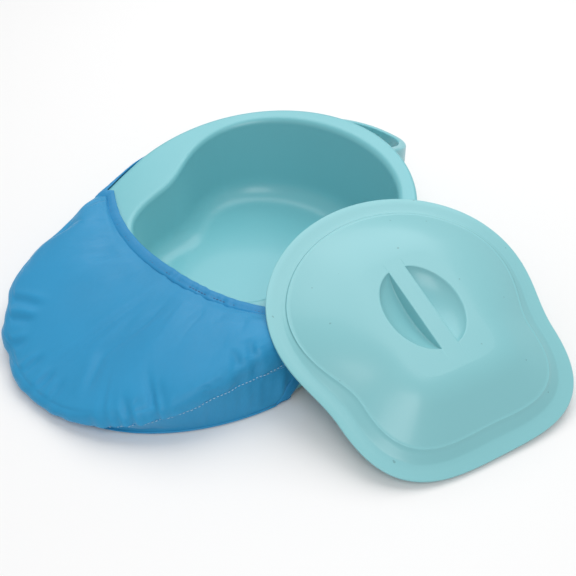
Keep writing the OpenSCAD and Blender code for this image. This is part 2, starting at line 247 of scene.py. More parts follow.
def mouth_r(a):
    share = np.clip((PI - from_rear(a))/(PI - MOUTH_ANGLE), 0, None)
    return MOUTH_FRONT + (MOUTH_CORNER - MOUTH_FRONT)*share**MOUTH_POWER


# ---- heights ----

def seat_z(x):
    """Height of the rim and seat, which bend down towards the tip."""
    bend = np.maximum(0, -x - BEND_START)/(TIP - BEND_START)
    return BOWL_HEIGHT + x*SEAT_SLOPE - TIP_DROP*bend**2


def skirt_z(x):
    """Lower edge of the skirt, which rises from the ground in front to a short lip behind."""
    return mix(FOOT_GAP, seat_z(x) - LIP_HEIGHT, smooth((x - FOOT_X)/SKIRT_RISE))


def wall_r(a, z):
    """Distance of the pan's side wall from the bowl's middle."""
    r = rim_r(a)
    top = seat_z(r*np.cos(a)) - RIM_ROUND
    return mix(r, foot_r(a), np.clip((top - z)/np.maximum(MM, top - FOOT_GAP), 0, 1))


def seam_level(a):
    """Height of the seam between the cover's top panel and its band."""
    return np.minimum(SEAM_HEIGHT, seat_z(rim_r(a)*np.cos(a)) - RIM_ROUND - SEAM_DROP)


def polar(r, a, z):
    """Points at distance r, heading a and height z."""
    r, a, z = np.broadcast_arrays(r, a, z)
    return np.stack([r*np.cos(a), r*np.sin(a), z], -1)


def on_seat(r, a, dz=0.0):
    return polar(r, a, seat_z(r*np.cos(a)) + dz)


# ---- meshes ----

def new_object(name, verts, faces):
    mesh = bpy.data.meshes.new(name)
    mesh.from_pydata([tuple(map(float, v)) for v in verts], [], faces)
    mesh.validate()
    mesh.update()
    mesh.shade_smooth()
    o = bpy.data.objects.new(name, mesh)
    bpy.context.scene.collection.objects.link(o)
    return o


def object_from(bm, name):
    mesh = bpy.data.meshes.new(name)
    for face in bm.faces:
        face.smooth = True
    bm.to_mesh(mesh)
    bm.free()
    o = bpy.data.objects.new(name, mesh)
    bpy.context.scene.collection.objects.link(o)
    return o


def ring_faces(rows, n, closed_rows=False, flip=False):
    faces = []
    last = rows if closed_rows else rows - 1
    for j in range(last):
        k = (j + 1) % rows
        for i in range(n):
            m = (i + 1) % n
            quad = (j*n + i, j*n + m, k*n + m, k*n + i)
            faces.append(quad[::-1] if flip else quad)
    return faces


def skin(name, rings):
    """Closed skin through rings, from the underside out round the edge to the top."""
    n = len(rings[0])
    verts = np.concatenate(rings + [rings[0].mean(0)[None], rings[-1].mean(0)[None]])
    faces = ring_faces(len(rings), n, flip=True)
    bottom, top = len(rings)*n, len(rings)*n + 1
    faces += [(i, (i + 1) % n, bottom) for i in range(n)]
    base = (len(rings) - 1)*n
    faces += [(base + (i + 1) % n, base + i, top) for i in range(n)]
    return new_object(name, verts, faces)


def apply_modifiers(o):
    depsgraph = bpy.context.evaluated_depsgraph_get()
    mesh = bpy.data.meshes.new_from_object(o.evaluated_get(depsgraph))
    o.modifiers.clear()
    o.data = mesh


# ---- materials ----

class Graph:
    """A material's node tree, with short calls for the nodes this scene uses."""

    def __init__(self, name, colour, roughness):
        self.material = bpy.data.materials.new(name)
        self.material.use_nodes = True
        self.tree = self.material.node_tree
        self.shader = self.tree.nodes["Principled BSDF"]
        self.set(Base_Color=(*colour, 1), Roughness=roughness)
        self.place = self.tree.nodes.new("ShaderNodeTexCoord").outputs["Object"]

    def set(self, **settings):
        for key, value in settings.items():
            self.shader.inputs[key.replace("_", " ")].default_value = value

    def link(self, value, socket):
        if isinstance(value, bpy.types.NodeSocket):
            self.tree.links.new(value, socket)
        else:
            socket.default_value = value

    def noise(self, scale, detail=3.0, stretch=(1, 1, 1)):
        shift = self.tree.nodes.new("ShaderNodeMapping")
        shift.inputs["Scale"].default_value = stretch
        node = self.tree.nodes.new("ShaderNodeTexNoise")
        node.inputs["Scale"].default_value = scale
        node.inputs["Detail"].default_value = detail
        self.link(self.place, shift.inputs["Vector"])
        self.link(shift.outputs["Vector"], node.inputs["Vector"])
        return node.outputs["Fac"]

    def waves(self, scale, direction, twist=0.0):
        node = self.tree.nodes.new("ShaderNodeTexWave")
        node.bands_direction = direction
        node.inputs["Scale"].default_value = scale
        node.inputs["Distortion"].default_value = twist
        self.link(self.place, node.inputs["Vector"])
        return node.outputs["Fac"]

    def sum(self, a, b, share=1.0):
        """a + b*share."""
        node = self.tree.nodes.new("ShaderNodeMath")
        node.operation = "MULTIPLY_ADD"
        self.link(b, node.inputs[0])
        node.inputs[1].default_value = share
        self.link(a, node.inputs[2])
        return node.outputs[0]

    def spread(self, value, low, high, new_low=0.0, new_high=1.0):
        node = self.tree.nodes.new("ShaderNodeMapRange")
        self.link(value, node.inputs["Value"])
        ends = {"From Min": low, "From Max": high, "To Min": new_low, "To Max": new_high}
        for name, number in ends.items():
            node.inputs[name].default_value = number
        return node.outputs["Result"]

    def blend(self, share, colour_a, colour_b):
        node = self.tree.nodes.new("ShaderNodeMix")
        node.data_type = "RGBA"
        self.link(share, node.inputs["Factor"])
        for socket, colour in zip((node.inputs[6], node.inputs[7]), (colour_a, colour_b)):
            self.link(colour if isinstance(colour, bpy.types.NodeSocket) else (*colour, 1), socket)
        return node.outputs[2]

    def colour(self, value):
        self.link(value, self.shader.inputs["Base Color"])

    def roughness(self, value):
        self.link(value, self.shader.inputs["Roughness"])

    def bump(self, height, strength, depth):
        node = self.tree.nodes.new("ShaderNodeBump")
        node.inputs["Strength"].default_value = strength
        node.inputs["Distance"].default_value = depth
        self.link(height, node.inputs["Height"])
        self.link(node.outputs["Normal"], self.shader.inputs["Normal"])

    def painted_highlight_mask(self):
        """Where the surface bulges: 0.5 on flat ground, more on edges. It masks the painted highlights on
        edges and ridges.
        """
        return self.tree.nodes.new("ShaderNodeNewGeometry").outputs["Pointiness"]


def shade(colour, factor):
    return tuple(min(1.0, c*factor) for c in colour)


def moulded_plastic(name, colour, specks=False):
    """Satin polypropylene: clouded colour, a painted highlight on its edges, uneven gloss and a very fine
    grain.
    """
    g = Graph(name, colour, 0.3)
    g.set(Specular_IOR_Level=0.45, Coat_Weight=0.12, Coat_Roughness=0.12)
    cloud = g.noise(9, 0)
    body = g.blend(cloud, shade(colour, 0.97), shade(colour, 1.03))
    # Bulging edges are painted paler: a painted highlight.
    edge = g.spread(g.painted_highlight_mask(), 0.505, 0.56)
    body = g.blend(g.sum(0.0, edge, 0.35), body, shade(colour, 1.3))
    if specks:
        dots = g.spread(g.noise(240, 0), 0.855, 0.865)
        body = g.blend(g.sum(0.0, dots, 0.5), body, shade(colour, 0.45))
    g.colour(body)
    # With a range that reached down to 0.24, faint closed outlines showed on the plastic.
    g.roughness(g.spread(g.noise(25, 0), 0.0, 1.0, 0.29, 0.36))
    g.bump(g.sum(g.noise(1400, 2), g.noise(180, 2), 0.6), 0.08, 0.2*MM)
    return g.material


def woven_cloth(name, colour, sheen):
    """Thin coated taffeta: crossed threads, a cool sheen, slightly uneven dye and a painted highlight on
    bulging ridges.
    """
    g = Graph(name, colour, 0.5)
    g.set(Specular_IOR_Level=0.3, Sheen_Weight=sheen, Sheen_Roughness=0.35, Sheen_Tint=(0.6, 0.85, 1.0, 1))
    dye = g.spread(g.noise(9, 3), 0.3, 0.7)
    body = g.blend(dye, shade(colour, 0.93), shade(colour, 1.06))
    slub = g.spread(g.noise(220, 2, stretch=(1, 9, 1)), 0.35, 0.65)
    body = g.blend(g.sum(0.0, slub, 0.25), body, shade(colour, 1.18))
    # Bulging ridges of the fabric are painted paler: a painted highlight.
    edge = g.spread(g.painted_highlight_mask(), 0.5, 0.6)
    g.colour(g.blend(g.sum(0.0, edge, 0.4), body, shade(colour, 1.5)))
    g.roughness(g.spread(g.noise(60, 3), 0.3, 0.7, 0.38, 0.52))
    warp_and_weft = g.sum(g.waves(620, "X", 0.4), g.waves(620, "Y", 0.4))
    weave = g.sum(warp_and_weft, g.waves(620, "Z", 0.4))
    g.bump(g.sum(weave, g.noise(300, 3), 0.8), 0.16, 0.12*MM)
    return g.material


def foam(name, colour):
    """Open-celled foam, with painted shade in the pits of its cells."""
    g = Graph(name, colour, 0.9)
    cells = g.noise(900, 4)
    # The low pits of the cells are painted darker: painted shade.
    g.colour(g.blend(g.spread(cells, 0.35, 0.6), shade(colour, 0.75), colour))
    g.bump(cells, 0.7, 0.6*MM)
    return g.material


def thread(name, colour):
    """Twisted sewing thread, with painted shade in the twist's grooves and a painted highlight on its
    ridges.
    """
    g = Graph(name, colour, 0.6)
    g.set(Sheen_Weight=0.3)
    twist = g.waves(900, "DIAGONAL", 1.0)
    # Colour follows the twist's bump: the darker grooves are painted shade and the paler ridges a painted
    # highlight.
    g.colour(g.blend(twist, shade(colour, 0.8), shade(colour, 1.15)))
    g.bump(twist, 0.5, 0.15*MM)
    return g.material


def webbing(name, colour):
    """Flat woven elastic: fine cords running along it, with painted shade between them."""
    g = Graph(name, colour, 0.75)
    cords = g.sum(g.waves(420, "Z"), g.noise(500, 2), 0.5)
    # Colour follows the cords' bump: the darker grooves between the cords are painted shade.
    g.colour(g.blend(cords, shade(colour, 0.78), colour))
    g.bump(cords, 0.5, 0.2*MM)
    return g.material


def finish_piece(o, node, body, mat):
    """Gives a piece its material, hangs it under its body's empty and hides the CAD node that it stands
    for.
    """
    o.data.materials.clear()
    o.data.materials.append(mat)
    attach(o, body)
    if node:
        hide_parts(node)


AQUA = (0.182, 0.52, 0.575)
PALE_AQUA = (0.235, 0.545, 0.585)
BLUE = (0.024, 0.275, 0.525)
DEEP_BLUE = (0.02, 0.24, 0.49)
ELASTIC_WHITE = (0.8, 0.8, 0.78)
FOAM_WHITE = (0.86, 0.86, 0.8)
PALE_THREAD = (0.33, 0.58, 0.78)
DARK_THREAD = (0.02, 0.09, 0.24)


# ---- pan ----

def degrees(start, stop, count):
    return np.radians(np.linspace(start, stop, count))


def pan_rings(count):
    """Rings from the middle of the underside out under the rim, down the skirt and back to the floor."""
    a = np.linspace(0, 2*PI, count, endpoint=False)
    opening, rim = opening_r(a), rim_r(a)

    def floor(t, radius):
        r = opening - WALL_DRAFT*(BOWL_HEIGHT - FLOOR_ROUND) - FLOOR_ROUND + radius*math.sin(t)
        return polar(r, a, FLOOR_Z + FLOOR_ROUND - radius*math.cos(t))

    def lip(t, inset):
        out = LIP_ROUND - (LIP_ROUND - inset)*math.cos(t)
        drop = LIP_ROUND - (LIP_ROUND - inset)*math.sin(t)
        return on_seat(opening + out, a, -drop)

    def deck(share, drop):
        return on_seat(mix(opening + LIP_ROUND, rim - RIM_ROUND, share), a, -drop)

    def edge(t, inset):
        out = (RIM_ROUND - inset)*math.cos(t) - RIM_ROUND
        return on_seat(rim + out, a, (RIM_ROUND - inset)*math.sin(t) - RIM_ROUND)

    def skirt(share, inset):
        top = seat_z(rim*np.cos(a)) - RIM_ROUND
        z = mix(top, skirt_z(rim*np.cos(a)), share)
        return polar(wall_r(a, z) - inset, a, z)

    wall_end = math.radians(FLOOR_ROUND_END)
    under = FLOOR_ROUND + PLASTIC
    rings = [floor(0, FLOOR_ROUND + FLOOR_Z)]
    rings += [floor(t, under) for t in degrees(15, FLOOR_ROUND_END, 7)]
    rings += [mix(floor(wall_end, under), lip(0, PLASTIC), s) for s in (0.3, 0.6, 0.9)]
    rings += [lip(t, PLASTIC) for t in degrees(0, 90, 5)]
    rings += [deck(s, PLASTIC) for s in np.linspace(0.1, 0.95, 12)]
    rings += [edge(t, PLASTIC) for t in degrees(90, 0, 4)]
    rings += [skirt(s, PLASTIC) for s in (0.1, 0.4, 0.7, 0.97)]
    rings += [skirt(1, PLASTIC*0.7), skirt(1, PLASTIC*0.3)]
    rings += [skirt(s, 0) for s in (0.97, 0.7, 0.4, 0.1)]
    rings += [edge(t, 0) for t in degrees(0, 90, 7)]
    rings += [deck(s, 0) for s in np.linspace(0.97, 0.03, 16)]
    rings += [lip(t, 0) for t in degrees(90, 0, 9)]
    rings += [mix(lip(0, 0), floor(wall_end, FLOOR_ROUND), s) for s in (0.15, 0.4, 0.65, 0.9)]
    rings += [floor(t, FLOOR_ROUND) for t in degrees(FLOOR_ROUND_END, 0, 10)]
    rings += [mix(rings[-1], polar(0, a, FLOOR_Z), s) for s in (0.08, 0.4, 0.8)]
    return rings


def bow(t):
    """Plan of the handle's outer edge; t runs from -90 to 90 degrees, in radians."""
    x = HANDLE_ROOT + (pan_high.x - HANDLE_ROOT)*np.abs(np.cos(t))**(2/HANDLE_POWER)
    y = HANDLE_HALF*np.sign(np.sin(t))*np.abs(np.sin(t))**(2/HANDLE_POWER)
    return np.array([x, y])


def channel_section():
    """The handle's section as (inwards, downwards) points: a channel open below."""
    w, h, wall, r = HANDLE_STRAP, HANDLE_DEPTH, PLASTIC, HANDLE_ROUND
    corner = degrees(0, 90, 5)
    outer = [(r - r*math.cos(t), r - r*math.sin(t)) for t in corner]
    inner = [(w - x, y) for x, y in outer[::-1]]
    outline = [(0, h), (0, 0.6*h), (0, 0.3*h)] + outer + [(w/2, 0)] + inner
    outline += [(w, 0.3*h), (w, 0.6*h), (w, h), (w - wall, h), (w - wall, wall), (wall, wall), (wall, h)]
    return np.array(outline)


def handle_mesh():
    section = channel_section()
    rings = []
    for t in degrees(-HANDLE_END, HANDLE_END, 75):
        here = bow(t)
        along = bow(t + 0.01) - bow(t - 0.01)
        out = np.array([along[1], -along[0]])/np.linalg.norm(along)
        plan = here[:, None] - out[:, None]*section[:, 0]
        z = seat_z(PAN_R) - HANDLE_DROP - (plan[0] - HANDLE_ROOT)*HANDLE_SLOPE - section[:, 1]
        rings.append(np.stack([plan[0], plan[1], z], -1))
    n = len(section)
    bm = bmesh.new()
    verts = [bm.verts.new(v) for v in np.concatenate(rings)]
    for face in ring_faces(len(rings), n, flip=True):
        bm.faces.new([verts[i] for i in face])
    for end in (0, (len(rings) - 1)*n):
        cap = bm.faces.new(verts[end:end + n])
        bmesh.ops.triangulate(bm, faces=[cap])
    bmesh.ops.recalc_face_normals(bm, faces=bm.faces)
    return object_from(bm, "pan_handle")


def build_pan():
    shell = skin("pan_shell", pan_rings(240))
    loop = handle_mesh()
    mat = moulded_plastic("pan_plastic", AQUA)
    finish_piece(shell, "pan", "pan", mat)
    finish_piece(loop, None, "pan", mat)


# ---- lid ----

def lid_matrix():
    turn = Matrix.Rotation(LID_LEAN_HEADING, 4, "Z")
    lean = Matrix.Rotation(LID_LEAN, 4, "Y")
    back = Matrix.Rotation(LID_HEADING - LID_LEAN_HEADING, 4, "Z")
    return Matrix.Translation(LID_PLACE) @ turn @ lean @ back


def lid_top(x):
    """Height of the dome's summit, which falls gently towards the wide end."""
    return DOME_HEIGHT - SUMMIT_TILT*(x + SUMMIT_FRONT)


def summit_r(a):
    """Outline of the dome's summit, longer towards the wide end."""
    return squarish_r(a, np.where(np.cos(a) > 0, SUMMIT_REAR, SUMMIT_FRONT), SUMMIT_SIDE, SUMMIT_POWER)


def lid_rings(count):
    """Rings from the underside of the summit out round the flange's edge to the top of the summit."""
    a = np.linspace(0, 2*PI, count, endpoint=False)
    r = lid_r(a)
    turn = np.degrees(from_rear(a))
    stepped = smooth((turn - STEP_FROM)/(STEP_TO - STEP_FROM))
    faceted = smooth((turn - FACETS_FROM)/(FACETS_TO - FACETS_FROM))
    width = mix(STEP_WIDTH_REAR, STEP_WIDTH, stepped)
    height = mix(STEP_HEIGHT_REAR, STEP_HEIGHT, stepped)
    fold = FLANGE + width
    fold_z = LID_T + height
    summit = summit_r(a)
    top = lid_top(summit*np.cos(a))

    def ring(inset, z):
        return polar(r - inset, a, z)

    def dome(share, sink):
        facet = 1 - soft_max(1 - FACET_RISE*share, 0.0, FACET_FILLET)
        rise = mix(1 - (1 - share)**DOME_POWER, facet, faceted)
        return polar(mix(r - fold, summit, share), a, mix(fold_z, top, rise) - sink)

    t = LID_T
    edge = LID_EDGE
    shares = np.linspace(0.04, 1, 30)
    rings = [dome(s, t) for s in shares[::-1]]
    rings += [ring(fold + edge, height), ring(FLANGE + t/2, t/2), ring(FLANGE, 0)]
    rings += [ring(edge, 0), ring(edge/4, edge/4), ring(0, edge)]
    rings += [ring(0, t - edge), ring(edge/4, t - edge/4), ring(edge, t), ring(FLANGE/2, t)]
    rings += [ring(FLANGE - MM, t), ring(FLANGE, t + 0.15*MM), ring(FLANGE + MM, t + 0.6*MM)]
    rings += [ring(FLANGE + s*width, t + height*s) for s in (0.35, 0.6, 0.85)]
    rings += [ring(fold - BEAD, fold_z - 0.2*MM), ring(fold - BEAD/2, fold_z + 0.25*BEAD)]
    rings += [ring(fold, fold_z + 0.35*BEAD), ring(fold + BEAD/2, fold_z + 0.3*BEAD)]
    rings += [dome(s, 0) for s in shares]
    return rings


def scoop_grid(side, grow, sink):
    """Rows of points over one half of the grip's dish, from the rib's top round to the far edge.

    grow widens the outline for the underside, which lies sink below the summit.
    """
    half_a, half_b, rib = GRIP_A + grow, GRIP_B + grow, RIB_HALF - grow
    end = half_a*math.sqrt(1 - (rib/half_b)**2)
    x = end*np.sin(np.linspace(-PI/2, PI/2, 61))*0.999
    reach = half_b*np.sqrt(1 - (x/half_a)**2)

    def dip(y):
        return SCOOP_DEPTH*np.maximum(0, 1 - (x/half_a)**2 - (y/half_b)**2)**SCOOP_POWER

    wall = dip(np.full_like(x, rib))
    rows = [(np.full_like(x, rib - 3*BEVEL), 0*x), (np.full_like(x, rib - BEVEL), 0*x)]
    rows += [(rib - BEVEL*(1 - math.sin(t)), np.minimum(BEVEL, wall)*(1 - math.cos(t)))
             for t in degrees(25, 90, 4)]
    rows = [(y + 0*x, d) for y, d in rows]
    rows += [(rib + 0.06*s*wall, np.minimum(BEVEL, wall) + s*(0.94*wall - np.minimum(BEVEL, wall)))
             for s in (0.3, 0.6, 0.9, 1)]
    for s in (0.06, 0.14, 0.25, 0.38, 0.5, 0.62, 0.73, 0.83, 0.9, 0.95, 0.98):
        y = mix(rib + 0.06*wall, reach, s)
        rows.append((y, dip(y)))
    rows += [(reach + BEVEL*0.4, 0.12*BEVEL + 0*x), (reach + BEVEL, 0*x), (reach + 3*BEVEL, 0*x)]
    x = x + GRIP_X
    return [np.stack([x, side*y, lid_top(x) - sink - d], -1) for y, d in rows]


def add_scoop(bm, rows):
    """Adds a scoop's faces and gives the edges of its outline."""
    grid = [[bm.verts.new(p) for p in row] for row in rows]
    for upper, lower in zip(grid, grid[1:]):
        for i in range(len(upper) - 1):
            bm.faces.new((upper[i], upper[i + 1], lower[i + 1], lower[i]))
    return [e for e in bm.edges if e.is_boundary]


def lid_mesh():
    """The lid as it lies on its flange, with the grip's two scoops let into both faces of the summit."""
    rings = lid_rings(300)
    n = len(rings[0])
    bm = bmesh.new()
    verts = [bm.verts.new(v) for v in np.concatenate(rings)]
    for face in ring_faces(len(rings), n):
        bm.faces.new([verts[i] for i in face])
    inside = []
    for first, thick in ((len(verts) - n, 0), (0, LID_T)):
        ring = verts[first:first + n]
        outline = {bm.edges.get((ring[i], ring[(i + 1) % n])) for i in range(n)}
        known = {e for e in bm.edges if e.is_boundary} - outline
        for side in (1, -1):
            outline |= set(add_scoop(bm, scoop_grid(side, thick, thick))) - known
        for e in outline:
            e.smooth = False
        # The order of a set changes from run to run, and the fill depends on the order of its edges.
        bm.edges.index_update()
        ordered = sorted(outline, key=lambda e: e.index)
        filled = bmesh.ops.triangle_fill(bm, use_beauty=True, use_dissolve=False, edges=ordered)
        inside += [e for e in filled["geom"] if isinstance(e, bmesh.types.BMEdge) and e not in outline]
    bmesh.ops.subdivide_edges(bm, edges=inside, cuts=4)
    bmesh.ops.recalc_face_normals(bm, faces=bm.faces)
    return object_from(bm, "lid_shell")


def build_lid():
    lid = lid_mesh()
    lid.data.transform(lid_matrix())
    finish_piece(lid, "lid", "lid", moulded_plastic("lid_plastic", PALE_AQUA, specks=True))


# ---- cover ----

def ear(far):
    """Heading at which the cover's edge reaches the rim's side; far is true on the +Y side."""
    return np.where(far, EAR_FAR, EAR_NEAR)


def over_edge(a, v):
    """Point and normal on the pan's rim, v over its rounded edge: below 0 the deck, then the wall."""
    a, v = np.broadcast_arrays(a, v)
    t = np.clip(v/RIM_ROUND, 0, PI/2)
    down = np.maximum(0, v - EDGE_LENGTH)
    r = rim_r(a) - RIM_ROUND*(1 - np.sin(t)) + np.minimum(0, v)
    z = seat_z(r*np.cos(a)) - RIM_ROUND*(1 - np.cos(t)) - down
    r = np.where(down > 0, wall_r(a, z), r)
    normal = np.stack([np.cos(a)*np.sin(t), np.sin(a)*np.sin(t), np.cos(t)], -1)
    return polar(r, a, z), normal


def side_drop(a):
    """Height of the pan's side wall."""
    return seat_z(rim_r(a)*np.cos(a)) - RIM_ROUND - FOOT_GAP


def from_opening(a, v):
    """Distance over the surface from the edge of the cover's opening, beside and behind its mouth."""
    t = from_rear(a)
    end = ear(np.sin(a) > 0)
    past_corner = np.maximum(0, t - MOUTH_ANGLE)*PAN_R
    edge = EDGE_LENGTH*np.clip((MOUTH_ANGLE - t)/(MOUTH_ANGLE - end), 0, 1)
    to_ear = np.hypot(past_corner, v - edge)
    drop = np.clip((v - EDGE_LENGTH)/side_drop(a), 0, 1)
    run = (FOOT_REAR - end)*PAN_R
    square = side_drop(a)/np.hypot(run, side_drop(a))
    to_side = (t - mix(end, FOOT_REAR, drop))*PAN_R*square
    return np.minimum(to_ear, to_side)


def clear_of_hem(a, v):
    """0 where the hem covers the fabric's edge, 1 further in."""
    return smooth((from_opening(a, v) - HEM_WIDTH + 4*MM)/(22*MM))


def rear_heading(turn_over, drop):
    """Headings of the cover's rear edge on +Y and on -Y, each measured from the rear.

    turn_over goes 0 to 1 over the rim's edge, and drop 0 to 1 down the side.
    """
    ends = []
    for far in (True, False):
        at_edge = mix(MOUTH_ANGLE, ear(far), turn_over)
        ends.append(mix(at_edge, FOOT_REAR, drop) + HEM_TURN)
    return ends


def columns(count, turn_over=0.0, drop=0.0):
    """Headings of a row's points, from the cover's rear edge on +Y round the tip to that on -Y."""
    far, near = rear_heading(turn_over, drop)
    return np.linspace(far, 2*PI - near, count)


def panel_row(v, count):
    """One row of the top panel: v is 0 to 1 over the deck, to 2 round the edge, to 3 at the seam."""
    if v <= 1:
        a = columns(count)
        start = mouth_r(a) + HEM_WIDTH - PANEL_TUCK
        r = mix(start, rim_r(a) - RIM_ROUND, v)
        lift = mix(HEM_TOP - PANEL_SINK, PAD_TOP, smooth(7*v))
        lift = mix(HEM_TOP - MM, lift, clear_of_hem(a, r - rim_r(a) + RIM_ROUND))
        return polar(r, a, seat_z(r*np.cos(a)) + lift), a
    if v <= 2:
        t = (v - 1)*PI/2
        a = columns(count, v - 1)
        lift = mix(PAD_TOP, SIDE_OUT, math.sin(t)**2)
        over = t*RIM_ROUND
    else:
        drop = (v - 2)*SEAM_SHARE
        a = columns(count, 1, drop)
        lift = SIDE_OUT
        top = seat_z(rim_r(a)*np.cos(a)) - RIM_ROUND
        over = EDGE_LENGTH + (top - seam_level(a))*(v - 2)
    point, normal = over_edge(a, over)
    return point + normal*mix(UNDER_HEM, lift, clear_of_hem(a, over))[:, None], a


def gauss(x):
    return np.exp(-x*x)


def crease(points, start, end, width, depth):
    """Depth of a soft crease along a line in plan: a valley with a low ridge beside it."""
    p, q = np.array(start)*MM, np.array(end)*MM
    along = (q - p)/np.linalg.norm(q - p)
    across = np.array([-along[1], along[0]])
    d = points[..., :2] - p
    length = np.linalg.norm(q - p)
    s = d @ along/length
    off = (d @ across)/(width*MM)
    ends = smooth((s + 0.25)/0.5)*smooth((1.25 - s)/0.5)
    return depth*MM*ends*(0.6*gauss(off - 1.6) - gauss(off))


# Single creases on the deck: start and end in plan, half width and depth, in millimetres. They
# follow creases in the photograph. The starts and ends in the first four rows are a helper
# program's unchanged output; the other eight rows were moved by hand from its output.
LONG_CREASES = [
    ((-240, 6), (-141, -7), 5, 1.1),
    ((-233, -38), (-203, -22), 5, 1.2),
    ((-203, -22), (-147, -31), 5, 1.3),
    ((-206, -17), (-165, -17), 5, 1.0),
    ((-255, 28), (-236, 24), 4, 2.0),
    ((-257, 5), (-240, 3), 4, 2.2),
    ((-258, -14), (-240, -12), 4, 1.6),
    ((-214, 98), (-204, 66), 4, 2.0),
    ((-229, 84), (-217, 60), 4, 2.6),
    ((-248, 62), (-234, 50), 4, 2.4),
    ((-128, -124), (-141, -146), 4, 2.0),
    ((-140, -118), (-154, -140), 5, 1.6),
]


def gathers(a, to_seam, start, pitch, count, depth, reach):
    """Dents that a gathered seam pulls into the panel, one every pitch degrees of heading."""
    total = np.zeros_like(a)
    width = math.radians(0.15*pitch + 0.3)
    for k in range(count):
        jitter = noise.noise(Vector((k*1.7, 3.1 + start, 0.4)))
        at = math.radians(start + (k + 0.5*jitter)*pitch)
        deep = depth*(0.55 + 1.3*abs(jitter))*min(1, 0.4 + k/3, 0.4 + (count - 1 - k)/3)
        fade = gauss(to_seam/(reach*(1 + 0.6*jitter)))
        off = (a - at + 0.35*to_seam/PAN_R)/width
        total += deep*fade*(0.45*gauss(off - 1.5) - gauss(off))
    return total


def seam_puckers(a, to_seam):
    """Gathers pulled into the seam, closest and deepest in front on the near side."""
    far = gathers(a, to_seam, start=134, pitch=4.6, count=14, depth=2.2*MM, reach=13*MM)
    near = gathers(a, to_seam, start=197, pitch=3.0, count=5, depth=4.4*MM, reach=24*MM)
    return far + near


def edge_bulge(a):
    """How far the stuffing pushes the panel's edge out: most at the tip's far side, in scallops."""
    turn = np.degrees(a)
    first_scallop, scallop_pitch = 139, 11.5
    far_tip = gauss((turn - 152)/22)
    front = gauss((turn - 200)/20)
    scallops = 0.5 + 0.5*np.cos((turn - first_scallop)*2*PI/scallop_pitch)
    return (1.0 + far_tip*(1.6 + 2.8*scallops) + front*(1.0 + scallops))*MM


def far_side_hollow(points):
    """Slack in the fabric on the far side, between the ear and the tip."""
    hollow = gauss((points[..., 0] + 132*MM)/(22*MM))
    beside_seam = smooth((points[..., 1] - 105*MM)/(30*MM))
    return -1.8*MM*hollow*beside_seam


def silk(points):
    """Broad, shallow swells that run from the tip towards the mouth."""
    flat = points.reshape(-1, 3)
    broad = [noise.noise(Vector((p[0]*9, p[1]*26, 1.0))) for p in flat]
    fine = [noise.noise(Vector((p[0]*25, p[1]*50, 7.0))) for p in flat]
    waves = [b + 0.5*f for b, f in zip(broad, fine)]
    return 0.9*MM*np.array(waves).reshape(points.shape[:-1])


def grid_faces(rows, cols):
    return [(j*cols + i, (j + 1)*cols + i, (j + 1)*cols + i + 1, j*cols + i + 1)
            for j in range(rows - 1) for i in range(cols - 1)]


def normals_of(o):
    n = np.zeros(len(o.data.vertices)*3)
    o.data.vertex_normals.foreach_get("vector", n)
    return n.reshape(-1, 3)


def coordinates(o):
    co = np.zeros(len(o.data.vertices)*3)
    o.data.vertices.foreach_get("co", co)
    return co.reshape(-1, 3)


def set_coordinates(o, co):
    o.data.vertices.foreach_set("co", np.asarray(co, float).ravel())
    o.data.update()


def puff_up(o, pinned, loose, slack, pressure, cap, frames=20):
    """Inflates a sheet of cloth held at its pinned points, by cap at most and in full where loose is 1."""
    rest = coordinates(o)
    group = o.vertex_groups.new(name="pinned")
    group.add([int(i) for i in np.flatnonzero(pinned)], 1.0, "REPLACE")
    cloth = o.modifiers.new("cloth", "CLOTH")
    settings = cloth.settings
    settings.quality = 7
    settings.mass = 0.2
    settings.vertex_group_mass = group.name
    settings.tension_stiffness = 20
    settings.compression_stiffness = 20
    settings.shear_stiffness = 8
    settings.bending_stiffness = 0.3
    settings.shrink_min = -slack
    settings.use_pressure = True
    settings.uniform_pressure_force = pressure
    settings.effector_weights.gravity = 0
    scene = bpy.context.scene
    for number in range(1, frames + 1):
        scene.frame_set(number)
    puffed = o.evaluated_get(bpy.context.evaluated_depsgraph_get())
    moved = coordinates(puffed) - rest
    o.modifiers.clear()
    scene.frame_set(1)
    size = np.linalg.norm(moved, axis=1, keepdims=True)
    moved *= loose[:, None]*cap*np.tanh(size/cap)/np.maximum(size, 1e-9)
    set_coordinates(o, rest + moved)


def keep_outside(o, base, out, room):
    """Pushes points back out where a sheet sinks more than room below its base surface."""
    co = coordinates(o)
    depth = ((co - base)*out).sum(1)
    set_coordinates(o, co - out*np.minimum(0, depth + room)[:, None])


def sheet_from(name, rows):
    """A sheet of fabric whose outer face has these rows of points."""
    rows = np.array(rows)
    return new_object(name, rows.reshape(-1, 3), grid_faces(len(rows), rows.shape[1]))


def thicken(o, thickness, levels=1):
    if levels:
        smoother = o.modifiers.new("smoother", "SUBSURF")
        smoother.levels = smoother.render_levels = levels
    solid = o.modifiers.new("thickness", "SOLIDIFY")
    solid.thickness = thickness
    solid.offset = -1
    apply_modifiers(o)
    o.data.shade_smooth()


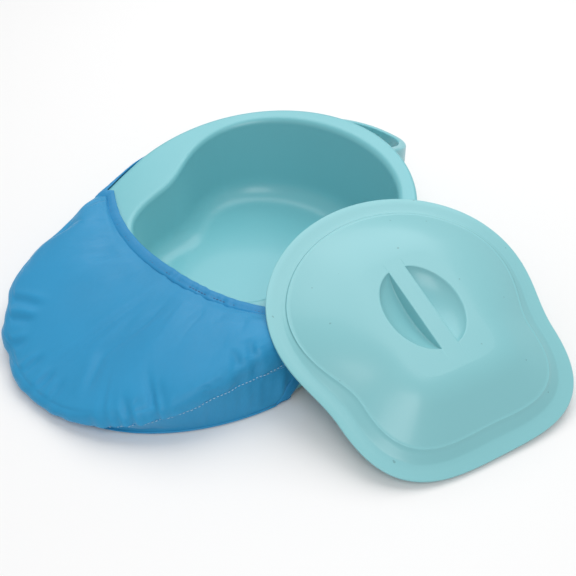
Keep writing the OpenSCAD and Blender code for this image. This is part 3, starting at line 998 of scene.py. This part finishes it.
def build_top_panel(mat):
    """The panel, shaped by formula and then puffed up as cloth; gives its points in rows."""
    count = 251
    deck, edge, side = np.linspace(0, 1, DECK_ROWS), np.linspace(1, 2, 8), np.linspace(2, 3, 7)
    shares = np.concatenate([deck, edge[1:], side[1:]])
    rows, headings = zip(*[panel_row(v, count) for v in shares])
    rows, a = np.array(rows), np.array(headings)
    o = sheet_from("cover_top", rows)
    out = normals_of(o).reshape(rows.shape)
    to_seam = np.linalg.norm(rows[-1][None] - rows, axis=-1)
    held = smooth(shares/0.12)[:, None]*smooth((3 - shares)/0.7)[:, None]
    dent = sum(crease(rows, *c) for c in LONG_CREASES)
    dent = dent + seam_puckers(a, to_seam) + far_side_hollow(rows) + silk(rows)
    dent = dent + edge_bulge(a)*gauss((shares - 1.95)/0.7)[:, None]
    crown = 2.5*MM*np.sin(PI*np.clip(shares/1.15, 0, 1))[:, None]
    crown = crown*smooth((a - columns(count)[0])/0.25)*smooth((columns(count)[-1] - a)/0.25)
    set_coordinates(o, (rows + out*(dent + crown)[..., None]*held[..., None]).reshape(-1, 3))
    pinned = np.zeros(rows.shape[:2], bool)
    pinned[0] = pinned[-1] = True
    pinned[:, 0] = pinned[:, -1] = True
    over = np.where(shares < 1, -PAN_R/4, EDGE_LENGTH)[:, None]
    loose = smooth(from_opening(a, over)/(30*MM))*smooth(shares/0.35)[:, None]
    puff_up(o, pinned.ravel(), (0.15 + 0.85*loose).ravel(), slack=0.014, pressure=2.5, cap=4*MM)
    room = np.where(shares < 1, PAD_TOP - 3*FABRIC, SIDE_OUT - 1.6*FABRIC)[:, None] + 0*a
    room = room*clear_of_hem(a, np.where(shares[:, None] < 1, -PAN_R, EDGE_LENGTH))
    keep_outside(o, rows.reshape(-1, 3), out.reshape(-1, 3), room.ravel())
    grid = coordinates(o).reshape(rows.shape)
    thicken(o, FABRIC)
    finish_piece(o, "top_panel", "cover", mat)
    return grid


def band_row(share, count):
    """One row of the band: share is 0 at the seam and 1 at the foot."""
    a = columns(count, 1, mix(SEAM_SHARE, 1, share))
    top = seat_z(rim_r(a)*np.cos(a)) - RIM_ROUND
    from_end = np.minimum(a - a[0], a[-1] - a)
    foot = mix(HEM_FOOT, BAND_FOOT, smooth(from_end/0.12))
    over = EDGE_LENGTH + top - mix(seam_level(a), foot, share)
    point, normal = over_edge(a, over)
    return point + normal*mix(UNDER_HEM, SIDE_OUT - 0.3*MM, clear_of_hem(a, over))[:, None], a


def build_side_band(mat):
    count = 161
    shares = np.linspace(0, 1, 16)
    rows, headings = zip(*[band_row(s, count) for s in shares])
    rows, a = np.array(rows), np.array(headings)
    o = sheet_from("cover_band", rows)
    out = normals_of(o).reshape(rows.shape)
    from_end = np.minimum(a - a[:, :1], a[:, -1:] - a)
    gathered = 0.35 + 1.6*gauss(from_end/0.3)
    fold = np.array([[noise.noise(Vector((math.degrees(t)*0.42, 5.0, 0.35*s))) for t in row]
                     for s, row in zip(shares, a)])
    hang = np.sin(PI*np.clip(shares*1.05, 0, 1))[:, None]
    set_coordinates(o, (rows + out*(2.6*MM*gathered*(fold + 0.15)*hang)[..., None]).reshape(-1, 3))
    keep_outside(o, rows.reshape(-1, 3), out.reshape(-1, 3), SIDE_OUT - 1.7*FABRIC)
    thicken(o, FABRIC)
    finish_piece(o, "side_band", "cover", mat)


def build_base_panel(mat):
    front = -TIP + FOOT_SETBACK - SIDE_OUT
    x = np.linspace(front + 0.4*MM, -BASE_LINE, 48)
    tucked = smooth((-x - BASE_LINE)/(18*MM))
    half = PAN_R*np.sqrt(1 - ((x - FOOT_X)/(FOOT_X - front))**2) + mix(-0.5*MM, SIDE_OUT, tucked)
    rows = []
    for s in np.linspace(-1, 1, 60):
        y = s*half
        z = BASE_LIFT + 0.25*MM*np.sin(x*70 + 4*s)*(1 - s*s)
        rows.append(np.stack([x, y, z], -1))
    o = sheet_from("cover_base", rows)
    thicken(o, FABRIC, levels=0)
    finish_piece(o, "base_panel", "cover", mat)


# The hem runs round the cover's whole opening. Each station of its path places a section there:
# its points lie w into the cover and h off the pan.

def unit(v):
    return v/np.linalg.norm(v)


def forward(a, z):
    """Direction along the pan's side, towards the tip on +Y."""
    step = 0.02
    ahead = polar(wall_r(a + step, z), a + step, z) - polar(wall_r(a - step, z), a - step, z)
    return unit(ahead)


def flat_station(p, into, n):
    """Places the section flat at p, w along into and h along n."""
    return lambda w, h: p + np.outer(w, into) + np.outer(h, n)


def wrapped_station(a, v, turn, width):
    """Wraps the section over the rim's edge; turn is 0 forwards and a quarter turn downwards."""
    def place(w, h):
        w = w*width
        point, n = over_edge(a + w*math.cos(turn)/PAN_R, v + w*math.sin(turn))
        return point + n*(h*mix(0.4, 1, width))[:, None]
    return place


def mouth_stations(count=150):
    """Point and direction into the cover, from the middle of the mouth to its corner on +Y."""
    stations = []
    for s in np.linspace(0, 1, count):
        a = float(mix(PI, MOUTH_ANGLE, s))
        r = min(float(mouth_r(a)), float(rim_r(a)) - RIM_ROUND)
        w = mix(np.array([math.cos(a), math.sin(a), 0]), forward(a, BOWL_HEIGHT), smooth((s - 0.7)/0.3))
        stations.append((on_seat(r, a, 0.3*MM), unit(w + [0, 0, SEAT_SLOPE*w[0]])))
    return stations


def hem_half(far):
    """Stations from the middle of the mouth over one side and under the pan, for +Y."""
    up = np.array([0, 0, 1.0])
    end = float(ear(far))
    height = float(side_drop(end))
    run = (FOOT_REAR - end)*PAN_R
    slant = math.atan2(run, height)
    places = [flat_station(p, w, up) for p, w in mouth_stations()]
    for t in np.linspace(0, PI/2, 10)[1:-1]:
        places.append(wrapped_station(MOUTH_ANGLE, 0.0, t, 1.0))
    for s in np.linspace(0, 1, 70):
        a = mix(MOUTH_ANGLE, end, s)
        free = (a - end)/(FOOT_REAR - end)*height
        width = min(1.0, max(EAR_SHARE, EAR_TAPER*free/HEM_WIDTH))
        places.append(wrapped_station(a, s*EDGE_LENGTH, PI/2, width))
    for t in np.linspace(PI/2, -slant, 8)[1:-1]:
        places.append(wrapped_station(end, EDGE_LENGTH, t, EAR_SHARE))
    for s in np.linspace(0, 1, 70)[1:]:
        a = mix(end, FOOT_REAR, s)
        width = min(1.0, max(EAR_SHARE, EAR_TAPER*s*run/HEM_WIDTH))
        turn = -slant*(1 - smooth((s - 0.75)/0.25))
        places.append(wrapped_station(a, EDGE_LENGTH + s*(float(side_drop(a)) + HEM_SAG), turn, width))
    w = forward(FOOT_REAR, FOOT_GAP)
    side = np.array([w[1], -w[0], 0])
    corner = polar(wall_r(FOOT_REAR, FOOT_GAP), FOOT_REAR, FOOT_GAP - HEM_SAG)
    for t in degrees(15, 90, 6):
        n = side*math.cos(t) - up*math.sin(t)
        places.append(flat_station(corner, w, n))
    for s in np.linspace(0, 1, 60)[1:]:
        places.append(flat_station(corner*[1, 1 - s, 1], np.array([-1.0, 0, 0]), -up))
    return places


def mirrored(place):
    return lambda w, h: place(w, h)*[1, -1, 1]


def hem_path():
    return hem_half(True) + [mirrored(place) for place in hem_half(False)[-2:0:-1]]


def hem_sweep(name, sections, path):
    """Closed tube along the hem's path, with a section of (w, h) points for each station."""
    rings = [place(q[:, 0], q[:, 1]) for place, q in zip(path, sections)]
    bm = bmesh.new()
    verts = [bm.verts.new(v) for v in np.concatenate(rings)]
    for face in ring_faces(len(rings), len(rings[0]), closed_rows=True):
        bm.faces.new([verts[i] for i in face])
    bmesh.ops.recalc_face_normals(bm, faces=bm.faces)
    return object_from(bm, name)


def mouth_gather(y):
    """How strongly the elastic gathers the hem: most just past the middle on the near side."""
    return 0.25 + 0.9*gauss((y + 0.038)/0.045)


def build_hem(mat):
    path = hem_path()
    t = np.linspace(0, 2*PI, 20, endpoint=False)
    travelled = 0.0
    sections = []
    before = path[-1](np.zeros(1), np.zeros(1))[0]
    for place in path:
        p = place(np.zeros(1), np.zeros(1))[0]
        travelled += np.linalg.norm(p - before)
        before = p
        g = mouth_gather(p[1]) if p[2] > BOWL_HEIGHT/2 else 0.5
        wave = noise.noise(Vector((travelled/0.009, 0.3, 2.0)))
        ripple = noise.noise(Vector((travelled/0.0045, 9.3, 2.0)))
        centre = HEM_WIDTH/2 + 0.9*MM + g*(1.5*MM*wave + 0.5*MM*ripple)
        half = HEM_WIDTH/2 + 1.2*MM
        into = centre - half*np.cos(t)
        sewn = 1 - 0.55*g*gauss((into - HEM_WIDTH + 2.2*MM)/(0.9*MM))
        half_high = max(1.3*MM, HEM_TOP/2 + g*(0.5*MM*wave + 0.5*MM*ripple))
        high = half_high*(1 + np.sin(t)*sewn)
        sections.append(np.stack([into, high + HEM_LIFT], -1))
    hem = hem_sweep("cover_hem", sections, path)
    finish_piece(hem, "mouth_hem", "cover", mat)


def build_elastic():
    path = hem_path()
    t = np.linspace(0, 2*PI, 12, endpoint=False)
    flat = np.stack([4.0*MM - 1.4*MM*np.cos(t), HEM_LIFT + 1.25*MM + 0.3*MM*np.sin(t)], -1)
    o = hem_sweep("hem_elastic_band", [flat]*len(path), path)
    finish_piece(o, "hem_elastic", "cover", webbing("elastic_webbing", ELASTIC_WHITE))


def build_foam(panel):
    """Foam under the deck part of the panel, which gives the panel's rows of points."""
    count = 97
    deck = panel[4:DECK_ROWS]
    pick = np.linspace(6, panel.shape[1] - 7, count).round().astype(int)
    deck = deck[:, pick]
    share = np.linspace(0, 1, len(deck))
    pinch = smooth(np.minimum(share, 1 - share)/0.08)[:, None]
    floor = seat_z(deck[..., 0]) + 0.4*MM
    thick = np.maximum(0.5*MM, (deck[..., 2] - FABRIC - 0.9*MM - floor)*mix(0.35, 1, pinch))
    top = np.concatenate([deck[..., :2], (floor + thick)[..., None]], -1)
    bottom = np.concatenate([deck[..., :2], floor[..., None]], -1)
    loops = [np.concatenate([u, d[::-1]]) for u, d in zip(top, bottom)]
    bm = bmesh.new()
    n = 2*count
    verts = [bm.verts.new(v) for v in np.concatenate(loops)]
    for face in ring_faces(len(loops), n):
        bm.faces.new([verts[i] for i in face])
    for base in (0, (len(loops) - 1)*n):
        for i in range(count - 1):
            bm.faces.new([verts[base + k] for k in (i, i + 1, n - 2 - i, n - 1 - i)])
    bmesh.ops.recalc_face_normals(bm, faces=bm.faces)
    o = object_from(bm, "foam_layer")
    finish_piece(o, "foam_pad", "cover", foam("foam_cells", FOAM_WHITE))


def stitches(name, line, normals, length, pitch, mat, node):
    """A row of short rounded stitches that dip into the fabric at both ends, along a line."""
    line = np.asarray(line)
    steps = np.linalg.norm(np.diff(line, axis=0), axis=1)
    at = np.concatenate([[0], np.cumsum(steps)])

    def sample(values, s):
        return np.array([np.interp(s, at, values[:, k]) for k in range(3)])

    bm = bmesh.new()
    ring = np.linspace(0, 2*PI, 8, endpoint=False)
    for start in np.arange(2*MM, at[-1] - length, pitch):
        rings = []
        for u in np.linspace(0, 1, 7):
            s = start + u*length
            p, n = sample(line, s), unit(sample(normals, s))
            along = unit(sample(line, s + 0.5*MM) - sample(line, s - 0.5*MM))
            side = np.cross(along, n)
            thick = THREAD*math.sqrt(max(0.06, 1 - (2*u - 1)**2))
            centre = p + n*(0.55*THREAD*math.sin(PI*u) - 0.1*THREAD)
            rings.append([bm.verts.new(centre + thick*(side*math.cos(q) + n*math.sin(q))) for q in ring])
        for lower, upper in zip(rings, rings[1:]):
            for i in range(len(ring)):
                m = (i + 1) % len(ring)
                bm.faces.new((lower[i], lower[m], upper[m], upper[i]))
        bm.faces.new(rings[0][::-1])
        bm.faces.new(rings[-1])
    bmesh.ops.recalc_face_normals(bm, faces=bm.faces)
    o = object_from(bm, name)
    finish_piece(o, node, "cover", mat)


def grid_normals(grid):
    across = np.gradient(grid, axis=1)
    down = np.gradient(grid, axis=0)
    n = np.cross(across, down)
    return n/np.maximum(np.linalg.norm(n, axis=-1, keepdims=True), 1e-9)


def build_stitches(panel):
    row = -2  # the last but one row of the panel runs just above the seam
    normals = grid_normals(panel)
    if (normals[row]*(panel[row] - panel[row].mean(0))).sum() < 0:
        normals = -normals
    trim = slice(3, -3)
    raised = panel[row][trim] + normals[row][trim]*0.35*MM
    stitches("seam_stitches", raised, normals[row][trim], length=2.2*MM, pitch=3.4*MM,
             mat=thread("thread_pale", PALE_THREAD), node="seam_thread")
    half = np.array([p + w*(HEM_WIDTH - 1.6*MM) + [0, 0, 0.8*HEM_TOP] for p, w in mouth_stations()])
    line = np.concatenate([half[::-1], half[1:]*[1, -1, 1]])
    upwards = np.array([[0, 0, 1.0]]*len(line))
    stitches("hem_stitches", line, upwards, length=2.4*MM, pitch=3.4*MM,
             mat=thread("thread_dark", DARK_THREAD), node="hem_thread")


def build_cover():
    mat = woven_cloth("cover_fabric", BLUE, 0.35)
    panel = build_top_panel(mat)
    build_side_band(mat)
    build_base_panel(mat)
    build_hem(woven_cloth("hem_fabric", DEEP_BLUE, 0.3))
    build_elastic()
    build_foam(panel)
    build_stitches(panel)


# ---- setting ----

def build_setting():
    floor_size = 6.0
    s = floor_size/2
    floor = new_object("floor", [(-s, -s, 0), (s, -s, 0), (s, s, 0), (-s, s, 0)], [(0, 1, 2, 3)])
    floor.location.z = -0.5*MM
    floor.data.materials.append(Graph("floor_pale", (0.9, 0.9, 0.9), 0.9).material)

    world = bpy.data.worlds.new("studio")
    bpy.context.scene.world = world
    world.use_nodes = True
    world.node_tree.nodes["Background"].inputs["Color"].default_value = (1, 1, 1, 1)
    world.node_tree.nodes["Background"].inputs["Strength"].default_value = 0.47

    def lamp(name, place, size, power):
        data = bpy.data.lights.new(name, "AREA")
        data.size = size
        data.energy = power
        o = bpy.data.objects.new(name, data)
        bpy.context.scene.collection.objects.link(o)
        o.location = place
        o.rotation_mode = "QUATERNION"
        o.rotation_quaternion = (Vector((-0.05, -0.1, 0)) - o.location).to_track_quat("-Z", "Y")

    lamp("key", Vector((0.6, 0.36, 1.45)), size=1.7, power=18.5)
    lamp("fill", Vector((-0.75, -0.85, 1.25)), size=0.8, power=7)
    add_camera()


def add_camera():
    """Looks at the pan from the front and the side on which the lid leans, from above."""
    aim = Vector((-36.3, -77.5, 40))*MM
    azimuth, elevation = math.radians(-46.26), math.radians(39.57)
    distance = 0.878
    level = Vector((math.sin(azimuth), -math.cos(azimuth), 0))*math.cos(elevation)
    back = level + Vector((0, 0, math.sin(elevation)))
    data = bpy.data.cameras.new("camera")
    data.lens = 60.66
    data.sensor_width = 36
    camera = bpy.data.objects.new("camera", data)
    bpy.context.scene.collection.objects.link(camera)
    camera.location = aim + back*distance
    camera.rotation_mode = "QUATERNION"
    camera.rotation_quaternion = (-back).to_track_quat("-Z", "Y")
    bpy.context.scene.camera = camera


def set_view_transform():
    bpy.context.scene.view_settings.view_transform = "Standard"


build_pan()
build_lid()
build_cover()
build_setting()
set_view_transform()
